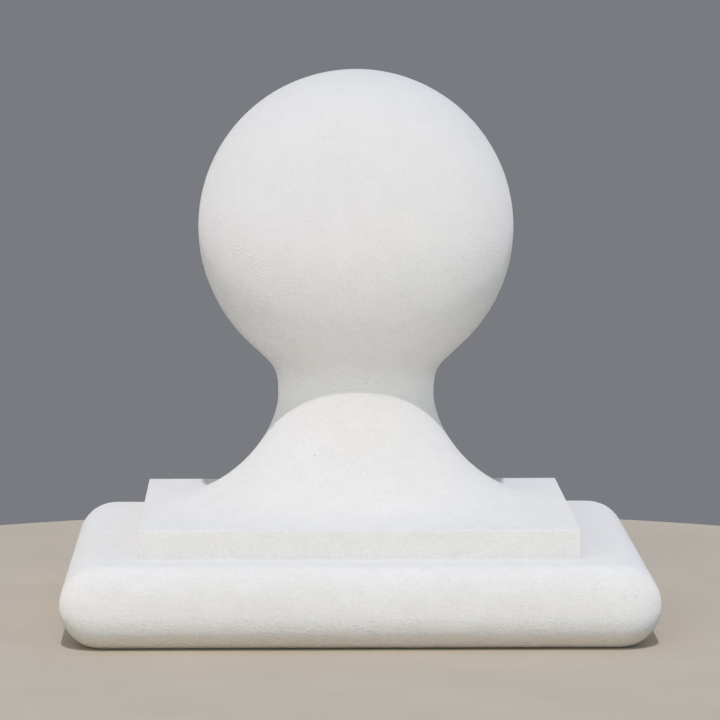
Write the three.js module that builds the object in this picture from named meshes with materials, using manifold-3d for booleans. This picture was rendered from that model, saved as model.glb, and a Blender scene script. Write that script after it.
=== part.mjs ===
// Pier cap with ball, one casting in pale cast stone: a slab with half-round edges, a square step,
// and a ball on a round neck that flares out to the step. Millimetres, +Z up.
// The origin is the middle of the underside, which lies on the pier.

import * as THREE from 'three';
import { mergeVertices } from 'three/addons/utils/BufferGeometryUtils.js';
import Module from 'manifold-3d';

// Slab, with a narrow upright belt left between its two rounded edges
const SLAB_WIDTH = 457;
const SLAB_HEIGHT = 63;
const SLAB_EDGE_RADIUS = 31;
const SLAB_CORNER_RADIUS = 34;
const SLAB_EDGE_SEGMENTS = 10;
const SLAB_CORNER_SEGMENTS = 4;

// Square step on the slab, which is sunk into it so that the two join
const STEP_WIDTH = 338;
const STEP_HEIGHT = 23;
const STEP_SUNK = 20;
const STEP_ARRIS_RADIUS = 1.5;
const STEP_CORNER_RADIUS = 2;
const STEP_ARRIS_SEGMENTS = 2;
const STEP_CORNER_SEGMENTS = 1;

// Ball
const BALL_DIAMETER = 250.4;
const BALL_CENTRE_HEIGHT = 306.4;

// Neck: it leaves the ball below its widest line, narrows to a throat and flares out to a round foot
const NECK_LEAVES_BALL_DEGREES = 45;
const NECK_TOP_PULL = 30;
const THROAT_TOP_PULL = 24;
const THROAT_RADIUS = 62.2;
const THROAT_HEIGHT = 174;
const THROAT_FOOT_PULL = 29;
const FOOT_PULL = 70.5;
const FOOT_RADIUS = 167;
const FOOT_SLOPE_DEGREES = 4;
const FOOT_LIP = 0.3;

// Fineness of the ball and neck, round the axis and along their section
const TURNS = 64;
const CURVE_SEGMENTS = 10;

const STEP_TOP = SLAB_HEIGHT + STEP_HEIGHT;

const wasm = await Module();
wasm.setup();

// Outline of a square with rounded corners, centred on the origin
function roundedSquare(width, cornerRadius) {
  const shape = new THREE.Shape();
  const corner = width / 2 - cornerRadius;
  const quarter = Math.PI / 2;
  for (let k = 0; k < 4; k += 1) {
    const x = k < 2 ? corner : -corner;
    const y = k === 1 || k === 2 ? corner : -corner;
    shape.absarc(x, y, cornerRadius, (k - 1) * quarter, k * quarter, false);
  }
  return shape;
}

// Square block standing on z = bottom, with its top and bottom edges rounded
function roundedBlock({
  width, height, cornerRadius, edgeRadius, edgeSegments, cornerSegments, bottom,
}) {
  const outline = roundedSquare(width - 2 * edgeRadius, cornerRadius - edgeRadius);
  const block = new THREE.ExtrudeGeometry(outline, {
    depth: height - 2 * edgeRadius,
    bevelEnabled: true,
    bevelThickness: edgeRadius,
    bevelSize: edgeRadius,
    bevelSegments: edgeSegments,
    curveSegments: cornerSegments,
  });
  return block.translate(0, 0, bottom + edgeRadius);
}

// Half section of the ball and its neck, from the axis inside the step to the axis at the top of the ball
function ballAndNeckSection() {
  const radius = BALL_DIAMETER / 2;
  const leave = THREE.MathUtils.degToRad(NECK_LEAVES_BALL_DEGREES);
  const slope = THREE.MathUtils.degToRad(FOOT_SLOPE_DEGREES);
  const neckTop = new THREE.Vector2(
    radius * Math.cos(leave),
    BALL_CENTRE_HEIGHT - radius * Math.sin(leave),
  );
  const footTop = STEP_TOP + FOOT_LIP;

  const section = new THREE.Path();
  section.moveTo(0, STEP_TOP - STEP_SUNK);
  section.lineTo(FOOT_RADIUS, STEP_TOP - STEP_SUNK);
  section.lineTo(FOOT_RADIUS, footTop);
  section.bezierCurveTo(
    FOOT_RADIUS - FOOT_PULL * Math.cos(slope), footTop + FOOT_PULL * Math.sin(slope),
    THROAT_RADIUS, THROAT_HEIGHT - THROAT_FOOT_PULL,
    THROAT_RADIUS, THROAT_HEIGHT,
  );
  section.bezierCurveTo(
    THROAT_RADIUS, THROAT_HEIGHT + THROAT_TOP_PULL,
    neckTop.x - NECK_TOP_PULL * Math.sin(leave), neckTop.y - NECK_TOP_PULL * Math.cos(leave),
    neckTop.x, neckTop.y,
  );
  section.absarc(0, BALL_CENTRE_HEIGHT, radius, -leave, Math.PI / 2, false);
  return section.getPoints(CURVE_SEGMENTS);
}

// Solid made from a closed geometry, once its shared vertices are merged
function solidOf(geometry) {
  geometry.deleteAttribute('normal');
  geometry.deleteAttribute('uv');
  const merged = mergeVertices(geometry);
  return new wasm.Manifold(new wasm.Mesh({
    numProp: 3,
    vertProperties: new Float32Array(merged.attributes.position.array),
    triVerts: new Uint32Array(merged.index.array),
  }));
}

function geometryOf(solid) {
  const mesh = solid.getMesh();
  const geometry = new THREE.BufferGeometry();
  geometry.setAttribute('position', new THREE.BufferAttribute(mesh.vertProperties, 3));
  geometry.setIndex(new THREE.BufferAttribute(mesh.triVerts, 1));
  geometry.computeVertexNormals();
  return geometry;
}

const slab = roundedBlock({
  width: SLAB_WIDTH,
  height: SLAB_HEIGHT,
  cornerRadius: SLAB_CORNER_RADIUS,
  edgeRadius: SLAB_EDGE_RADIUS,
  edgeSegments: SLAB_EDGE_SEGMENTS,
  cornerSegments: SLAB_CORNER_SEGMENTS,
  bottom: 0,
});

const step = roundedBlock({
  width: STEP_WIDTH,
  height: STEP_HEIGHT + STEP_SUNK,
  cornerRadius: STEP_CORNER_RADIUS,
  edgeRadius: STEP_ARRIS_RADIUS,
  edgeSegments: STEP_ARRIS_SEGMENTS,
  cornerSegments: STEP_CORNER_SEGMENTS,
  bottom: SLAB_HEIGHT - STEP_SUNK,
});

const ballAndNeck = new THREE.LatheGeometry(ballAndNeckSection(), TURNS).rotateX(Math.PI / 2);

const casting = solidOf(slab).add(solidOf(step)).add(solidOf(ballAndNeck));

const castStone = new THREE.MeshStandardMaterial({
  color: 0xe4e3df,
  roughness: 0.92,
  metalness: 0,
});

const pierCap = new THREE.Mesh(geometryOf(casting), castStone);
pierCap.name = 'pier_cap';

const group = new THREE.Group();
group.add(pierCap);

export default group;
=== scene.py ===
# Pier cap with ball: looks of the single cast-stone piece, with floor, light and camera. Metres, +Z up.
# The casting is one closed mesh of rings, from the top of the ball down to the middle of the underside.

from math import atan2, cos, exp, hypot, pi, radians, sin

import bpy
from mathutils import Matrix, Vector, noise


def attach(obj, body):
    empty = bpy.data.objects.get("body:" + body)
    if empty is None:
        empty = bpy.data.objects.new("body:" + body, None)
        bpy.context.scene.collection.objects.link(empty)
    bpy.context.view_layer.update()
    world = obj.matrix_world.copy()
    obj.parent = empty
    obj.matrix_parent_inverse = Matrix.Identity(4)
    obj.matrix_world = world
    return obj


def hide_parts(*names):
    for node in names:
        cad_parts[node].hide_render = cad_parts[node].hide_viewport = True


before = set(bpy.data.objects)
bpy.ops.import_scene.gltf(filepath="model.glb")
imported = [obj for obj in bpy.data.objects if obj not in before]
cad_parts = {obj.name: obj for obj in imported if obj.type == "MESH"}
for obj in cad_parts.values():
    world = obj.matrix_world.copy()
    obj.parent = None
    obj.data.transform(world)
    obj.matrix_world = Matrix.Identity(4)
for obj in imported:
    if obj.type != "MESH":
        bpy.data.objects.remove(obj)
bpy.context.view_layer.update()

# Slab
SLAB_HALF = 0.2285
SLAB_HEIGHT = 0.063
SLAB_EDGE_RADIUS = 0.031
SLAB_CORNER_RADIUS = 0.034
BELT_SPREAD = 0.125  # cosine of the edge's angle over which its narrow upright belt is spread

# Square step
STEP_HALF = 0.169
STEP_TOP = 0.086
STEP_ARRIS_RADIUS = 0.0011
STEP_CORNER_RADIUS = 0.002
STEP_FILLET_RADIUS = 0.0024

# Ball and neck
BALL_RADIUS = 0.1252
BALL_CENTRE_HEIGHT = 0.3064
NECK_LEAVES_BALL = radians(45)
NECK_TOP_PULL = 0.030
THROAT_TOP_PULL = 0.024
THROAT_RADIUS = 0.0622
THROAT_HEIGHT = 0.174
THROAT_FOOT_PULL = 0.029
FOOT_PULL = 0.0705
FOOT_RADIUS = 0.167
FOOT_SLOPE = radians(4)
FOOT_LIP = 0.0003
FOOT_LIP_FADE = 0.0012

# Columns of the mesh in an eighth of a turn, of which some go round the plan corner
EIGHTH_TURN = pi / 4
EIGHTH_COLUMNS = 48
CORNER_COLUMNS = 6
COLUMNS = 8 * EIGHTH_COLUMNS

# Rings of each part of the mesh
BALL_RINGS = 94
UPPER_NECK_RINGS = 20
FLARE_RINGS = 56
STEP_TOP_RINGS = 9
ARRIS_RINGS = 5
STEP_FACE_RINGS = 7
FILLET_RINGS = 5
SLAB_TOP_RINGS = 10
BULLNOSE_RINGS = 40
UNDERSIDE_RINGS = 3

# Points on each curve of the neck before its rings are spaced evenly
UPPER_NECK_SAMPLES = 200
FLARE_SAMPLES = 400

# Above 1, the rings on the step's top crowd towards the foot of the neck
STEP_TOP_CROWDING = 1.5

# Unevenness of the casting: wavelength and depth of each layer, and where each lies in the noise
SURFACE_LAYERS = ((0.150, 0.00045), (0.048, 0.00016), (0.017, 0.00007))
LAYER_START = Vector((0.0, 2.9, 5.1))
LAYER_SHIFT = Vector((7.3, 0.0, 0.0))
NOISE_GAIN = 1.6
REST_FADE_HEIGHT = 0.010

# Noises of the stone: scale, detail and roughness
SAND = (760.0, 2.0, 0.6)
CRUMB = (300.0, 2.0, 0.5)
RIPPLE = (100.0, 1.0, 0.5)
PATCHES = (48.0, 2.0, 0.5)
CLOUDS = (14.0, 3.0, 0.55)

# Crumb and ripple are squeezed in height, so that they lie like level drag marks
DRAG_SCALE = (1.0, 1.0, 2.4)

# Noise values between which the clouds turn from the darker colour to the lighter one
CLOUD_SPAN = (0.3, 0.7)

# Plain stone
STONE_DARKER = (0.884, 0.867, 0.826, 1)
STONE_LIGHTER = (0.904, 0.888, 0.850, 1)

# Colours laid over plain stone: values at which the layer starts and is full, its share and its colour
PATCH_LAYER = (0.35, 0.75, 0.50, (0.830, 0.811, 0.768, 1))
RIPPLE_LAYER = (0.35, 0.70, 0.30, (0.830, 0.813, 0.771, 1))
SPECK_LAYER = (0.65, 0.35, 0.34, (0.70, 0.683, 0.643, 1))
GRIT_LAYER = (0.62, 0.38, 0.16, (0.74, 0.722, 0.683, 1))

# The ball's colour comes in with height. Painted shade, with the warm tint of light bounced off the floor,
# darkens the lowest edge and goes out with height, along a line that the patches move up and down within
# the waver below
BALL_LAYER = (0.09, 0.26, 0.38, (0.69, 0.685, 0.668, 1))
# Painted shade on the lowest edge, warm like light bounced off the floor
LOW_EDGE_PAINTED_SHADE = (0.016, 0.009, 0.45, (0.79, 0.69, 0.545, 1))
PAINTED_SHADE_WAVER = 0.008

# Pinholes: only cells whose random draw lies in PINHOLE_FEW hold one, and its size is a share of the cell;
# the dark colour in each is painted shade
PINHOLE_CELLS = 150.0
PINHOLE_SCATTER = 1.0
PINHOLE_FEW = (0.93, 1.0)
PINHOLE_SIZE = 0.14
PINHOLE_EDGE = 0.05
PINHOLE_SHADE_SHARE = 0.40
# Painted shade inside the pinholes
PINHOLE_PAINTED_SHADE = (0.42, 0.41, 0.38, 1)
PINHOLE_DEPTH = 0.0006

# Height of the grain's relief
SAND_RELIEF = 0.00080
CRUMB_RELIEF = 0.00056
RIPPLE_RELIEF = 0.00014
STONE_RELIEF_STRENGTH = 1.0

# The relief's factor, on surfaces that face level or up and on those whose normal falls by half or more
DOWNWARD_SPAN = (0.0, -0.50)
RELIEF_FACTORS = (0.55, 2.6)

# Gloss of the stone, whose roughness follows the crumb
GLOSS_SPAN = (0.3, 0.7)
STONE_ROUGHNESS = (0.86, 0.96)
STONE_DIFFUSE_ROUGHNESS = 1.0
STONE_SPECULAR = 0.3

# Floor
FLOOR_RADIUS = 0.62
FLOOR_THICKNESS = 0.03
FLOOR_COLUMNS = 256
FLOOR_CLOUDS = (9.0, 3.0, 0.5)
FLOOR_GRAIN = (500.0, 2.0, 0.5)
FLOOR_DARKER = (0.67, 0.590, 0.465, 1)
FLOOR_LIGHTER = (0.715, 0.630, 0.498, 1)
FLOOR_RELIEF = 0.0002
FLOOR_RELIEF_STRENGTH = 0.6
FLOOR_ROUGHNESS = 0.9
FLOOR_SPECULAR = 0.2

# Key light: small and high in front, so that the ball's shadow on the neck has a crisp edge
KEY_ELEVATION = radians(53.5)
KEY_ANGLE = radians(1.0)
KEY_STRENGTH = 1.43
KEY_COLOUR = (0.955, 0.905, 0.98)

# Directions of the sides, as the camera sees the casting; the one above leans to the back
FRONT = Vector((0, -1, 0))
LEFT = Vector((-1, 0, 0))
RIGHT = Vector((1, 0, 0))
BACK = Vector((0, 1, 0))
ABOVE = Vector((0, 0.2, 1))

# Soft panels: name, place, side that the back faces, width, height and brightness in red, green and blue
PANELS = (
    ("fill_left", Vector((-2.1, -4.0, 1.6)), FRONT, 4.2, 3.2, (1.29, 1.33, 1.16)),
    ("fill_right", Vector((2.1, -4.0, 1.6)), FRONT, 4.2, 3.2, (0.42, 0.70, 1.05)),
    ("bounce", Vector((0.0, -4.0, -0.75)), FRONT, 8.0, 1.5, (1.90, 1.68, 1.60)),
    ("low_left", Vector((-4.2, -0.8, -0.7)), LEFT, 5.5, 1.6, (0.30, 0.44, 0.85)),
    ("low_right", Vector((4.2, -0.8, -0.7)), RIGHT, 5.5, 1.6, (0.58, 0.60, 0.40)),
    ("sky", Vector((0.0, 0.8, 4.0)), ABOVE, 7.0, 3.0, (0.20, 0.27, 0.38)),
    ("back", Vector((0.0, 4.0, 1.3)), BACK, 9.0, 2.6, (0.42, 0.45, 0.54)),
)

# Even light of the room, which is also the backdrop
ROOM_COLOUR = (0.190, 0.198, 0.215, 1)
ROOM_STRENGTH = 1.0

# Camera, from the sight lines of the photograph; focal length and sensor width in millimetres
LENS = 240.4
SENSOR = 36.0
CAMERA_TARGET = Vector((0.0032, 0.0, 0.2003))
CAMERA_DISTANCE = 3.821
CAMERA_ELEVATION = radians(5.355)
CAMERA_YAW = radians(-1.055)
CLIP_NEAR = 0.1
CLIP_FAR = 100.0


def smooth(value):
    """0 below 0, 1 above 1 and an even S between."""
    value = min(max(value, 0.0), 1.0)
    return value * value * (3 - 2 * value)


def bezier(points, count):
    """Points along a cubic curve, from its start to its end."""
    found = []
    for k in range(count + 1):
        t = k / count
        s = 1 - t
        weights = (s * s * s, 3 * s * s * t, 3 * s * t * t, t * t * t)
        found.append(tuple(sum(w * p[axis] for w, p in zip(weights, points)) for axis in (0, 1)))
    return found


def even(points, count):
    """The same line with its points spaced evenly, from the first to the last."""
    lengths = [0.0]
    for a, b in zip(points, points[1:]):
        lengths.append(lengths[-1] + hypot(b[0] - a[0], b[1] - a[1]))
    found = []
    k = 0
    for step in range(count + 1):
        goal = lengths[-1] * step / count
        while k < len(points) - 2 and lengths[k + 1] < goal:
            k += 1
        share = (goal - lengths[k]) / (lengths[k + 1] - lengths[k])
        a, b = points[k], points[k + 1]
        found.append((a[0] + (b[0] - a[0]) * share, a[1] + (b[1] - a[1]) * share))
    return found


def square_eighth(half, corner):
    """Plan points of a rounded square from the middle of a side to its diagonal."""
    straight = EIGHTH_COLUMNS - CORNER_COLUMNS
    inner = half - corner
    found = [(half, inner * k / straight) for k in range(straight)]
    for k in range(CORNER_COLUMNS + 1):
        angle = EIGHTH_TURN * k / CORNER_COLUMNS
        found.append((inner + corner * cos(angle), inner + corner * sin(angle)))
    return found


def all_round(eighth):
    """A whole ring of plan points from the points of one eighth."""
    quarter = eighth + [(y, x) for x, y in eighth[-2:0:-1]]
    ring = []
    for turn in range(4):
        for x, y in quarter:
            for _ in range(turn):
                x, y = -y, x
            ring.append((x, y))
    return ring


def square_ring(half, corner, height):
    """A ring in the form of a square with rounded corners."""
    return [Vector((x, y, height)) for x, y in all_round(square_eighth(half, corner))]


# Directions from the axis to the columns along the step's edge, which the columns at the neck's foot share
STEP_DIRECTIONS = [atan2(y, x) for x, y in square_eighth(STEP_HALF, STEP_CORNER_RADIUS)]


def round_ring(radius, height):
    """A circle whose columns turn from even spacing at the throat to the step's spacing at the foot."""
    share = 0.0
    if height < THROAT_HEIGHT:
        share = smooth((radius - THROAT_RADIUS) / (FOOT_RADIUS - THROAT_RADIUS))
    eighth = []
    for k, direction in enumerate(STEP_DIRECTIONS):
        angle = EIGHTH_TURN * k / EIGHTH_COLUMNS * (1 - share) + direction * share
        eighth.append((radius * cos(angle), radius * sin(angle)))
    return [Vector((x, y, height)) for x, y in all_round(eighth)]


def ball_line():
    """Radius and height of each ring of the ball, down to where the neck leaves it."""
    sweep = pi / 2 + NECK_LEAVES_BALL
    line = []
    for k in range(1, BALL_RINGS + 1):
        angle = pi / 2 - sweep * k / BALL_RINGS
        line.append((BALL_RADIUS * cos(angle), BALL_CENTRE_HEIGHT + BALL_RADIUS * sin(angle)))
    return line


def neck_line(top):
    """Radius and height of each ring of the neck, from the one below this top to its round foot."""
    throat = (THROAT_RADIUS, THROAT_HEIGHT)
    upper = (
        top,
        (top[0] - NECK_TOP_PULL * sin(NECK_LEAVES_BALL), top[1] - NECK_TOP_PULL * cos(NECK_LEAVES_BALL)),
        (THROAT_RADIUS, THROAT_HEIGHT + THROAT_TOP_PULL),
        throat,
    )
    foot_height = STEP_TOP + FOOT_LIP
    flare = (
        throat,
        (THROAT_RADIUS, THROAT_HEIGHT - THROAT_FOOT_PULL),
        (FOOT_RADIUS - FOOT_PULL * cos(FOOT_SLOPE), foot_height + FOOT_PULL * sin(FOOT_SLOPE)),
        (FOOT_RADIUS, foot_height),
    )
    line = even(bezier(upper, UPPER_NECK_SAMPLES), UPPER_NECK_RINGS)[1:]
    return line + even(bezier(flare, FLARE_SAMPLES), FLARE_RINGS)[1:]


def step_top_rings(foot):
    """Rings between the round foot and the square edge of the step, with the lip dying away."""
    edge = square_ring(STEP_HALF - STEP_ARRIS_RADIUS, STEP_CORNER_RADIUS - STEP_ARRIS_RADIUS, STEP_TOP)
    rings = []
    for k in range(1, STEP_TOP_RINGS + 1):
        share = (k / STEP_TOP_RINGS) ** STEP_TOP_CROWDING
        ring = []
        for inner, outer in zip(foot, edge):
            point = inner.lerp(outer, share)
            gap = hypot(point.x - inner.x, point.y - inner.y)
            point.z = STEP_TOP + FOOT_LIP * exp(-gap / FOOT_LIP_FADE)
            ring.append(point)
        rings.append(ring)
    return rings


def step_face_rings():
    """Rings of the step's rounded top edge, its upright face and the fillet at its foot."""
    rings = []
    for k in range(1, ARRIS_RINGS + 1):
        angle = pi / 2 * k / ARRIS_RINGS
        drop = STEP_ARRIS_RADIUS * (1 - cos(angle))
        out = STEP_ARRIS_RADIUS * (1 - sin(angle))
        rings.append(square_ring(STEP_HALF - out, STEP_CORNER_RADIUS - out, STEP_TOP - drop))
    top = STEP_TOP - STEP_ARRIS_RADIUS
    bottom = SLAB_HEIGHT + STEP_FILLET_RADIUS
    for k in range(1, STEP_FACE_RINGS + 1):
        share = smooth(k / STEP_FACE_RINGS)
        rings.append(square_ring(STEP_HALF, STEP_CORNER_RADIUS, top + (bottom - top) * share))
    for k in range(1, FILLET_RINGS + 1):
        angle = pi / 2 * k / FILLET_RINGS
        out = STEP_FILLET_RADIUS * (1 - cos(angle))
        height = bottom - STEP_FILLET_RADIUS * sin(angle)
        rings.append(square_ring(STEP_HALF + out, STEP_CORNER_RADIUS + out, height))
    return rings


def slab_rings():
    """Rings of the slab's level top, its half-round edge and its underside."""
    rings = []
    start = STEP_HALF + STEP_FILLET_RADIUS
    edge = SLAB_HALF - SLAB_EDGE_RADIUS
    start_corner = STEP_CORNER_RADIUS + STEP_FILLET_RADIUS
    edge_corner = SLAB_CORNER_RADIUS - SLAB_EDGE_RADIUS
    for k in range(1, SLAB_TOP_RINGS + 1):
        share = smooth(k / SLAB_TOP_RINGS)
        half = start + (edge - start) * share
        corner = start_corner + (edge_corner - start_corner) * share
        rings.append(square_ring(half, corner, SLAB_HEIGHT))
    belt = SLAB_HEIGHT - 2 * SLAB_EDGE_RADIUS
    for k in range(1, BULLNOSE_RINGS + 1):
        angle = pi * k / BULLNOSE_RINGS
        out = SLAB_EDGE_RADIUS * sin(angle)
        height = SLAB_EDGE_RADIUS + SLAB_EDGE_RADIUS * cos(angle)
        height += belt * smooth((cos(angle) / BELT_SPREAD + 1) / 2)
        rings.append(square_ring(edge + out, edge_corner + out, height))
    for k in range(1, UNDERSIDE_RINGS + 1):
        share = 1 - k / (UNDERSIDE_RINGS + 1)
        rings.append(square_ring(edge * share, edge_corner * share, 0.0))
    return rings


def unevenness(place):
    """How far the cast surface lies inside the drawn one at this place."""
    depth = 0.0
    for k, (wavelength, reach) in enumerate(SURFACE_LAYERS):
        value = noise.noise(place / wavelength + LAYER_START + LAYER_SHIFT * k)
        depth += reach * (0.5 + 0.5 * min(max(value * NOISE_GAIN, -1.0), 1.0))
    return depth * smooth(place.z / REST_FADE_HEIGHT)


def cast_mesh():
    """The whole casting: rings joined by four-sided faces and closed by a fan at each end."""
    ball = ball_line()
    rings = [round_ring(radius, height) for radius, height in ball + neck_line(ball[-1])]
    rings += step_top_rings(rings[-1])
    rings += step_face_rings()
    rings += slab_rings()

    places = [Vector((0, 0, BALL_CENTRE_HEIGHT + BALL_RADIUS))]
    for ring in rings:
        places += ring
    places.append(Vector((0, 0, 0)))
    middle_below = len(places) - 1
    lowest_ring = middle_below - COLUMNS

    faces = []
    for k in range(COLUMNS):
        after = (k + 1) % COLUMNS
        faces.append((0, 1 + k, 1 + after))
        for upper in range(1, lowest_ring, COLUMNS):
            lower = upper + COLUMNS
            faces.append((upper + k, lower + k, lower + after, upper + after))
        faces.append((lowest_ring + k, middle_below, lowest_ring + after))

    mesh = bpy.data.meshes.new("pier_cap_casting")
    mesh.from_pydata(places, [], faces)
    mesh.update()
    outward = [normal.vector.copy() for normal in mesh.vertex_normals]
    for vertex, normal in zip(mesh.vertices, outward):
        vertex.co = vertex.co - normal * unevenness(vertex.co)
    mesh.update()
    mesh.polygons.foreach_set("use_smooth", [True] * len(mesh.polygons))
    return mesh


class Nodes:
    """Short calls for building a node tree."""

    # Sockets of the colour mix node, whose names also belong to its other sockets
    MIX_SHARE = 0
    MIX_UNDER = 6
    MIX_OVER = 7
    MIX_RESULT = 2

    def __init__(self, tree):
        self.tree = tree
        tree.nodes.clear()

    def add(self, kind, settings=None, **inputs):
        """A node with these settings and inputs; an underscore in an input's name stands for a space."""
        node = self.tree.nodes.new(kind)
        for name, value in (settings or {}).items():
            setattr(node, name, value)
        for name, value in inputs.items():
            self.put(node, name.replace("_", " "), value)
        return node

    def put(self, node, key, value):
        """Link a socket to the input with this name or number, or else set the input to the value."""
        socket = node.inputs[key]
        if isinstance(value, bpy.types.NodeSocket):
            self.tree.links.new(value, socket)
        else:
            socket.default_value = value

    def maths(self, operation, a, b):
        node = self.add("ShaderNodeMath", {"operation": operation})
        self.put(node, 0, a)
        self.put(node, 1, b)
        return node.outputs[0]

    def span(self, value, low, high, to_low=0.0, to_high=1.0):
        """The value brought from one range to another and held there."""
        node = self.add(
            "ShaderNodeMapRange", {"clamp": True},
            Value=value, From_Min=low, From_Max=high, To_Min=to_low, To_Max=to_high,
        )
        return node.outputs["Result"]

    def mix(self, share, under, over):
        node = self.add("ShaderNodeMix", {"data_type": "RGBA"})
        self.put(node, self.MIX_SHARE, share)
        self.put(node, self.MIX_UNDER, under)
        self.put(node, self.MIX_OVER, over)
        return node.outputs[self.MIX_RESULT]

    def lay(self, under, value, start, full, share, over):
        """A colour laid over another, from where the value starts it to where it has its full share."""
        return self.mix(self.maths("MULTIPLY", self.span(value, start, full), share), under, over)

    def grain(self, place, scale, detail, roughness):
        node = self.add(
            "ShaderNodeTexNoise", Vector=place, Scale=scale, Detail=detail, Roughness=roughness
        )
        return node.outputs["Fac"]

    def surface(self, height, strength, **looks):
        """A shader with relief of this height, linked to the material's output."""
        bump = self.add("ShaderNodeBump", Height=height, Strength=strength, Distance=1.0)
        shader = self.add("ShaderNodeBsdfPrincipled", Normal=bump.outputs["Normal"], **looks)
        self.add("ShaderNodeOutputMaterial", Surface=shader.outputs[0])


def new_material(name):
    """An empty material and the calls for building its nodes."""
    material = bpy.data.materials.new(name)
    material.use_nodes = True
    return material, Nodes(material.node_tree)


def stone_material():
    """Off-white cast stone: sandy grain, pinholes darkened by painted shade, faint clouding, faint drag
    marks of the mould and painted shade on the lowest edge.
    """
    material, n = new_material("cast_stone")
    coordinates = n.add("ShaderNodeTexCoord")
    place = coordinates.outputs["Object"]
    above = n.add("ShaderNodeSeparateXYZ", Vector=place).outputs["Z"]
    facing_up = n.add("ShaderNodeSeparateXYZ", Vector=coordinates.outputs["Normal"]).outputs["Z"]
    dragged = n.add("ShaderNodeMapping", Vector=place, Scale=DRAG_SCALE).outputs["Vector"]

    sand = n.grain(place, *SAND)
    crumb = n.grain(dragged, *CRUMB)
    ripple = n.grain(dragged, *RIPPLE)
    patches = n.grain(place, *PATCHES)
    clouds = n.grain(place, *CLOUDS)

    colour = n.mix(n.span(clouds, *CLOUD_SPAN), STONE_DARKER, STONE_LIGHTER)
    colour = n.lay(colour, patches, *PATCH_LAYER)
    colour = n.lay(colour, ripple, *RIPPLE_LAYER)
    colour = n.lay(colour, sand, *SPECK_LAYER)
    colour = n.lay(colour, crumb, *GRIT_LAYER)
    colour = n.lay(colour, above, *BALL_LAYER)
    # Painted shade, warm like floor bounce, along the lowest edge, with a wavering upper line
    waver = n.maths("MULTIPLY", n.maths("SUBTRACT", patches, 0.5), PAINTED_SHADE_WAVER)
    colour = n.lay(colour, n.maths("ADD", above, waver), *LOW_EDGE_PAINTED_SHADE)

    cells = n.add(
        "ShaderNodeTexVoronoi", {"feature": "F1"},
        Vector=place, Scale=PINHOLE_CELLS, Randomness=PINHOLE_SCATTER,
    )
    draw = n.add("ShaderNodeSeparateColor", Color=cells.outputs["Color"]).outputs[0]
    size = n.maths("MULTIPLY", n.span(draw, *PINHOLE_FEW), PINHOLE_SIZE)
    hole = n.span(n.maths("SUBTRACT", size, cells.outputs["Distance"]), 0.0, PINHOLE_EDGE)
    # Pinholes darkened with painted shade, besides their real dent below
    colour = n.mix(n.maths("MULTIPLY", hole, PINHOLE_SHADE_SHARE), colour, PINHOLE_PAINTED_SHADE)

    height = n.maths("MULTIPLY", sand, SAND_RELIEF)
    height = n.maths("ADD", height, n.maths("MULTIPLY", crumb, CRUMB_RELIEF))
    height = n.maths("ADD", height, n.maths("MULTIPLY", ripple, RIPPLE_RELIEF))
    height = n.maths("MULTIPLY", height, n.span(facing_up, *DOWNWARD_SPAN, *RELIEF_FACTORS))
    height = n.maths("SUBTRACT", height, n.maths("MULTIPLY", hole, PINHOLE_DEPTH))

    n.surface(
        height,
        STONE_RELIEF_STRENGTH,
        Base_Color=colour,
        Roughness=n.span(crumb, *GLOSS_SPAN, *STONE_ROUGHNESS),
        Diffuse_Roughness=STONE_DIFFUSE_ROUGHNESS,
        Specular_IOR_Level=STONE_SPECULAR,
    )
    return material


def floor_material():
    """Pale warm grey, slightly uneven."""
    material, n = new_material("pale_floor")
    place = n.add("ShaderNodeTexCoord").outputs["Object"]
    clouds = n.grain(place, *FLOOR_CLOUDS)
    fine = n.grain(place, *FLOOR_GRAIN)
    n.surface(
        n.maths("MULTIPLY", fine, FLOOR_RELIEF),
        FLOOR_RELIEF_STRENGTH,
        Base_Color=n.mix(n.span(clouds, *CLOUD_SPAN), FLOOR_DARKER, FLOOR_LIGHTER),
        Roughness=FLOOR_ROUGHNESS,
        Specular_IOR_Level=FLOOR_SPECULAR,
    )
    return material


def add_object(name, data):
    """A new object in the scene."""
    thing = bpy.data.objects.new(name, data)
    bpy.context.scene.collection.objects.link(thing)
    return thing


def build_casting():
    casting = add_object("pier_cap_casting", cast_mesh())
    casting.data.materials.append(stone_material())
    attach(casting, "root")
    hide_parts("pier_cap")


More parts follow.
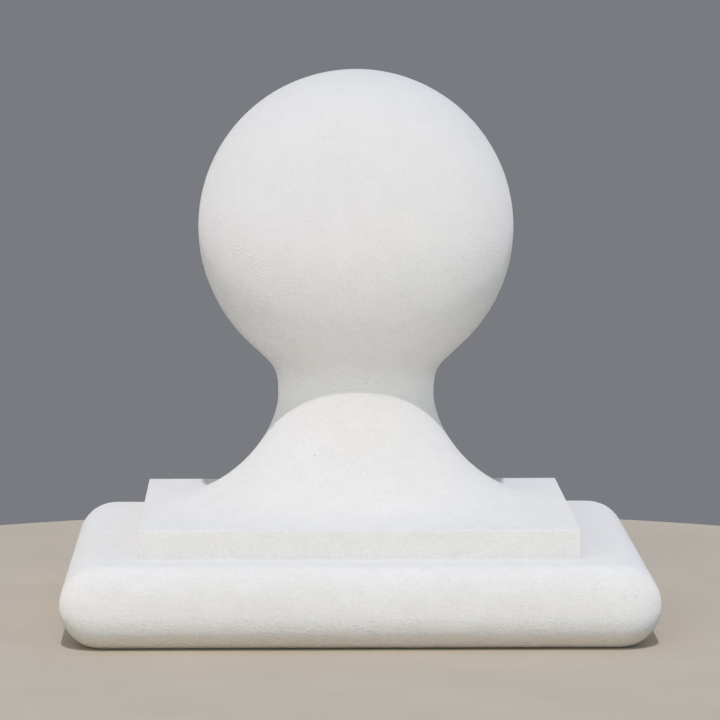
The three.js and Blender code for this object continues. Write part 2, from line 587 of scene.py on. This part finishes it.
def build_floor():
    """A round pale table top, with its upper face at the casting's underside."""
    turns = [2 * pi * k / FLOOR_COLUMNS for k in range(FLOOR_COLUMNS)]
    rim = [(FLOOR_RADIUS * cos(turn), FLOOR_RADIUS * sin(turn)) for turn in turns]
    places = [(x, y, 0.0) for x, y in rim] + [(x, y, -FLOOR_THICKNESS) for x, y in rim]
    top = tuple(range(FLOOR_COLUMNS))
    bottom = tuple(range(2 * FLOOR_COLUMNS - 1, FLOOR_COLUMNS - 1, -1))
    faces = [top, bottom]
    for k in range(FLOOR_COLUMNS):
        after = (k + 1) % FLOOR_COLUMNS
        faces.append((k, FLOOR_COLUMNS + k, FLOOR_COLUMNS + after, after))
    mesh = bpy.data.meshes.new("floor")
    mesh.from_pydata(places, [], faces)
    mesh.update()
    mesh.materials.append(floor_material())
    floor = add_object("floor", mesh)


def aim(thing, back):
    """Turn a light or camera so that its back faces this way."""
    thing.rotation_mode = "QUATERNION"
    thing.rotation_quaternion = back.to_track_quat("Z", "Y")


def build_light():
    key_light = bpy.data.lights.new("key", "SUN")
    key_light.energy = KEY_STRENGTH
    key_light.angle = KEY_ANGLE
    key_light.color = KEY_COLOUR
    aim(add_object("key", key_light), Vector((0, -cos(KEY_ELEVATION), sin(KEY_ELEVATION))))

    for name, place, back, width, height, brightness in PANELS:
        panel_light = bpy.data.lights.new(name, "AREA")
        panel_light.shape = "RECTANGLE"
        panel_light.size = width
        panel_light.size_y = height
        # With this power, the light's colour is the brightness of the panel's face
        panel_light.energy = pi * width * height
        panel_light.color = brightness
        panel = add_object(name, panel_light)
        panel.location = place
        panel.visible_camera = False
        aim(panel, back)

    world = bpy.data.worlds.new("studio")
    bpy.context.scene.world = world
    world.use_nodes = True
    n = Nodes(world.node_tree)
    background = n.add("ShaderNodeBackground", Color=ROOM_COLOUR, Strength=ROOM_STRENGTH)
    n.add("ShaderNodeOutputWorld", Surface=background.outputs[0])


def build_camera():
    lens = bpy.data.cameras.new("camera")
    lens.lens = LENS
    lens.sensor_width = SENSOR
    lens.clip_start = CLIP_NEAR
    lens.clip_end = CLIP_FAR
    camera = add_object("camera", lens)
    back = Vector((
        sin(CAMERA_YAW) * cos(CAMERA_ELEVATION),
        -cos(CAMERA_YAW) * cos(CAMERA_ELEVATION),
        sin(CAMERA_ELEVATION),
    ))
    camera.location = CAMERA_TARGET + back * CAMERA_DISTANCE
    aim(camera, back)
    bpy.context.scene.camera = camera


bpy.context.scene.view_settings.view_transform = "Standard"
build_casting()
build_floor()
build_light()
build_camera()
